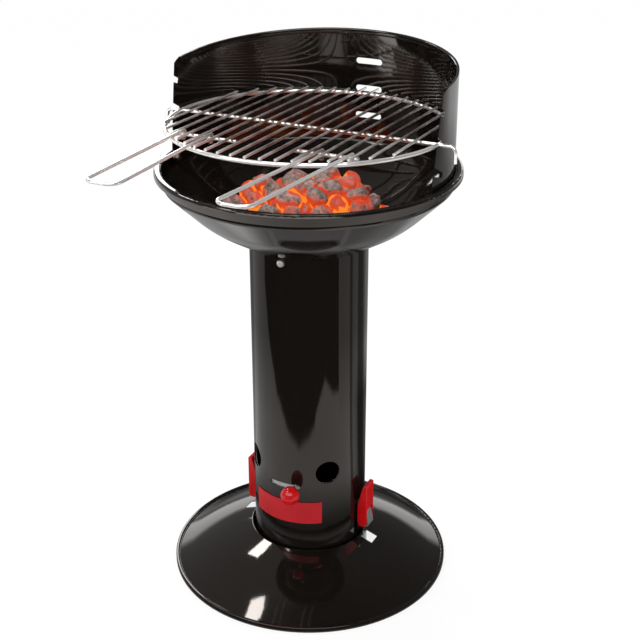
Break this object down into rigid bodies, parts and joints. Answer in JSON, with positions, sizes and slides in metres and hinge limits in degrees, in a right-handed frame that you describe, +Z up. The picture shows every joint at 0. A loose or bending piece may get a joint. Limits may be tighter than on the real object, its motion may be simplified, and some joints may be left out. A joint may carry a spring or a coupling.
{
  "type": "charcoal grill",
  "caption": "Pillar charcoal grill: domed foot, tube column with sliding air damper and toggle latches, bowl with wind shield, lift-off wire grate with folding handles.",
  "frame": {"origin": "on the floor, on the column's axis: the middle of the flat underside of the foot's well", "axes": "+Z up, front (handles and damper knob) towards -Y, +X towards the right of someone standing in front of it"},
  "size_m": [0.414, 0.5442, 0.7335],
  "materials": {
    "black_enamel": "gloss black enamel",
    "red_label": "satin red, bare",
    "red_plastic": "moulded, semi-gloss",
    "galvanised_steel": "galvanised",
    "zinc_steel": "zinc plated",
    "black_bolt": "black",
    "dark_wire": "dull, heat darkened",
    "dark_steel": "satin black",
    "chrome_wire": "bright chromed wire",
    "charcoal": "charred, ashy, glowing in the gaps"
  },
  "bodies": {
    "stand": {"foot_plate": "black_enamel", "column": "black_enamel", "label_plate": "red_label", "bowl": "black_enamel", "column_bolts": "zinc_steel", "column_nuts": "zinc_steel", "wind_shield": "black_enamel", "shield_bolts": "black_bolt", "shield_nuts": "zinc_steel", "latch_bracket_left": "dark_steel", "latch_bracket_right": "dark_steel", "latch_rivets": "zinc_steel", "latch_pin_left": "zinc_steel", "latch_pin_right": "zinc_steel"},
    "coal_bed": {"coal_ring": "dark_wire", "coal_bars": "dark_wire", "charcoal": "charcoal"},
    "damper": {"damper_ring": "galvanised_steel", "damper_stem": "zinc_steel", "damper_knob": "red_plastic"},
    "lever_right": {"latch_lever_right": "red_plastic", "strap_pin_right": "zinc_steel"},
    "lever_left": {"latch_lever_left": "red_plastic", "strap_pin_left": "zinc_steel"},
    "strap_right": {"latch_strap_right": "galvanised_steel"},
    "strap_left": {"latch_strap_left": "galvanised_steel"},
    "grate": {"grate_crossbar": "chrome_wire", "grate_hoops": "chrome_wire", "grate_bars": "chrome_wire", "handle_rod_left": "chrome_wire", "handle_rod_right": "chrome_wire"},
    "handle_right": {"handle_right": "chrome_wire"},
    "handle_left": {"handle_left": "chrome_wire"}
  },
  "joints": [
    {"name": "damper_turn", "type": "hinge", "parent": "stand", "child": "damper", "pos_m": [0, 0, 0.176], "axis": [0, 0, 1], "range_deg": [-26, 4]},
    {"name": "lever_right_swing", "type": "hinge", "parent": "stand", "child": "lever_right", "pos_m": [0.0886, 0, 0.0775], "axis": [0, 1, 0], "range_deg": [0, 85]},
    {"name": "lever_left_swing", "type": "hinge", "parent": "stand", "child": "lever_left", "pos_m": [-0.0886, 0, 0.0775], "axis": [0, -1, 0], "range_deg": [0, 85]},
    {"name": "strap_right_swing", "type": "hinge", "parent": "lever_right", "child": "strap_right", "pos_m": [0.0906, 0, 0.092], "axis": [0, 1, 0], "range_deg": [-86, 0]},
    {"name": "strap_left_swing", "type": "hinge", "parent": "lever_left", "child": "strap_left", "pos_m": [-0.0906, 0, 0.092], "axis": [0, -1, 0], "range_deg": [-86, 0]},
    {"name": "grate_lift", "type": "slide", "parent": "stand", "child": "grate", "axis": [0, -0.9397, 0.342], "range_m": [0, 0.08]},
    {"name": "coal_lift", "type": "slide", "parent": "stand", "child": "coal_bed", "axis": [0, 0, 1], "range_m": [0, 0.055]},
    {"name": "handle_right_swing", "type": "hinge", "parent": "grate", "child": "handle_right", "pos_m": [0.0955, -0.11597, 0.65006], "axis": [-1, 0, 0], "range_deg": [0, 158]},
    {"name": "handle_left_swing", "type": "hinge", "parent": "grate", "child": "handle_left", "pos_m": [-0.0955, -0.11597, 0.65006], "axis": [-1, 0, 0], "range_deg": [0, 158]}
  ],
  "couplings": [
    {"joint": "strap_right_swing", "follows": "lever_right_swing", "ratio": -1},
    {"joint": "strap_left_swing", "follows": "lever_left_swing", "ratio": -1}
  ]
}
